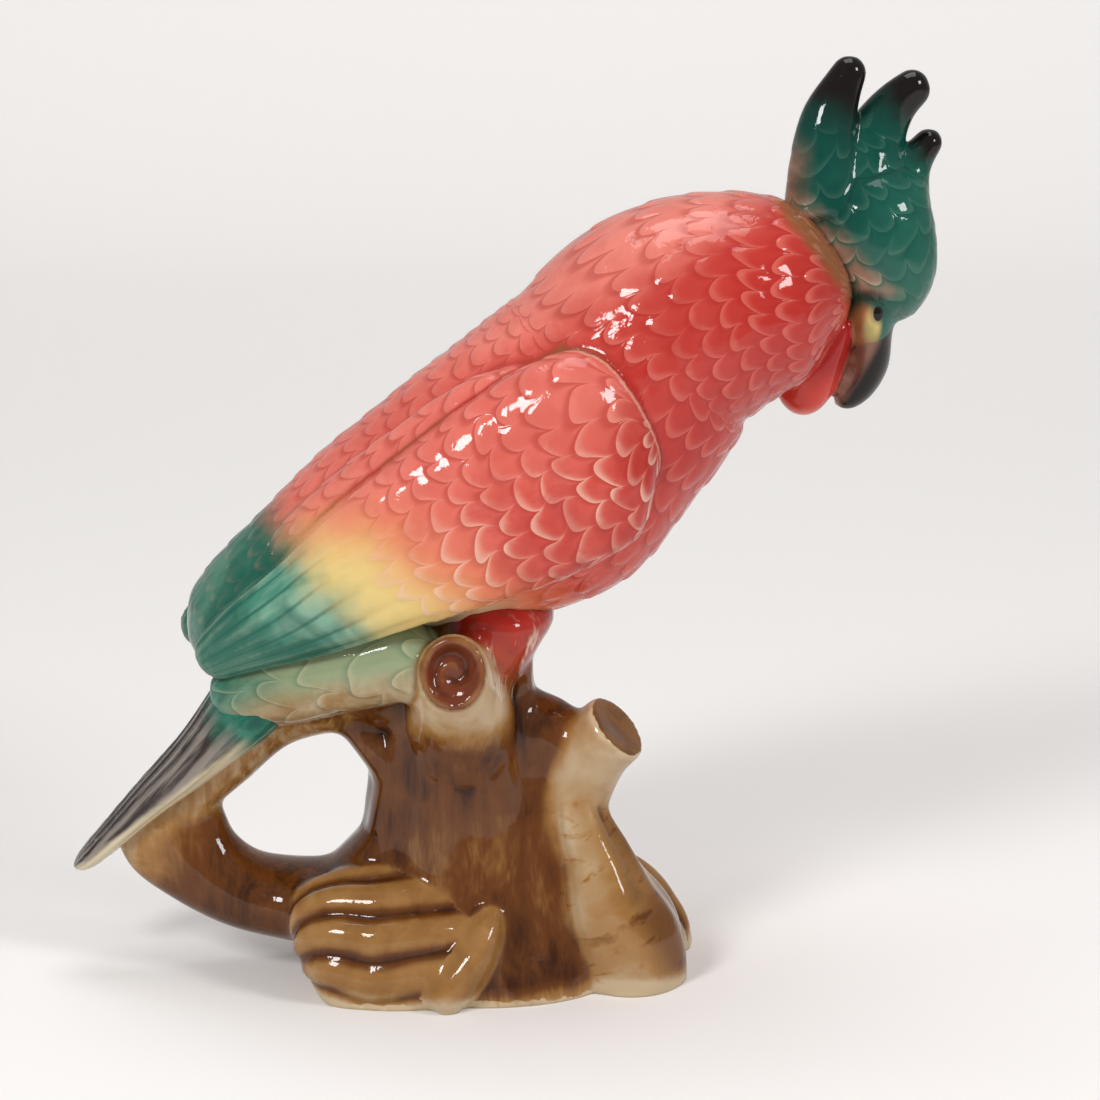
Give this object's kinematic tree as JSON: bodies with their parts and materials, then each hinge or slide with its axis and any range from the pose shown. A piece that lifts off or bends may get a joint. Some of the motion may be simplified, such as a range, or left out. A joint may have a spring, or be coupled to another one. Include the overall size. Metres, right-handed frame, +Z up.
{
  "type": "parrot figurine",
  "caption": "Glazed ceramic parrot with an upright crest, leaning forward on a tree stump with a sawn branch stub, folded roots and a low prop under its tail",
  "frame": {"origin": "centre of the bounding box, at the foot's flat underside", "axes": "+Z up, +X the way the bird looks and leans, -Y the side of the bird that the picture shows"},
  "size_m": [0.28, 0.1086, 0.2984],
  "materials": {
    "glazed_ceramic": "high gloss glaze over painted ceramic"
  },
  "bodies": {
    "root": {"parrot_figurine": "glazed_ceramic"}
  },
  "joints": []
}
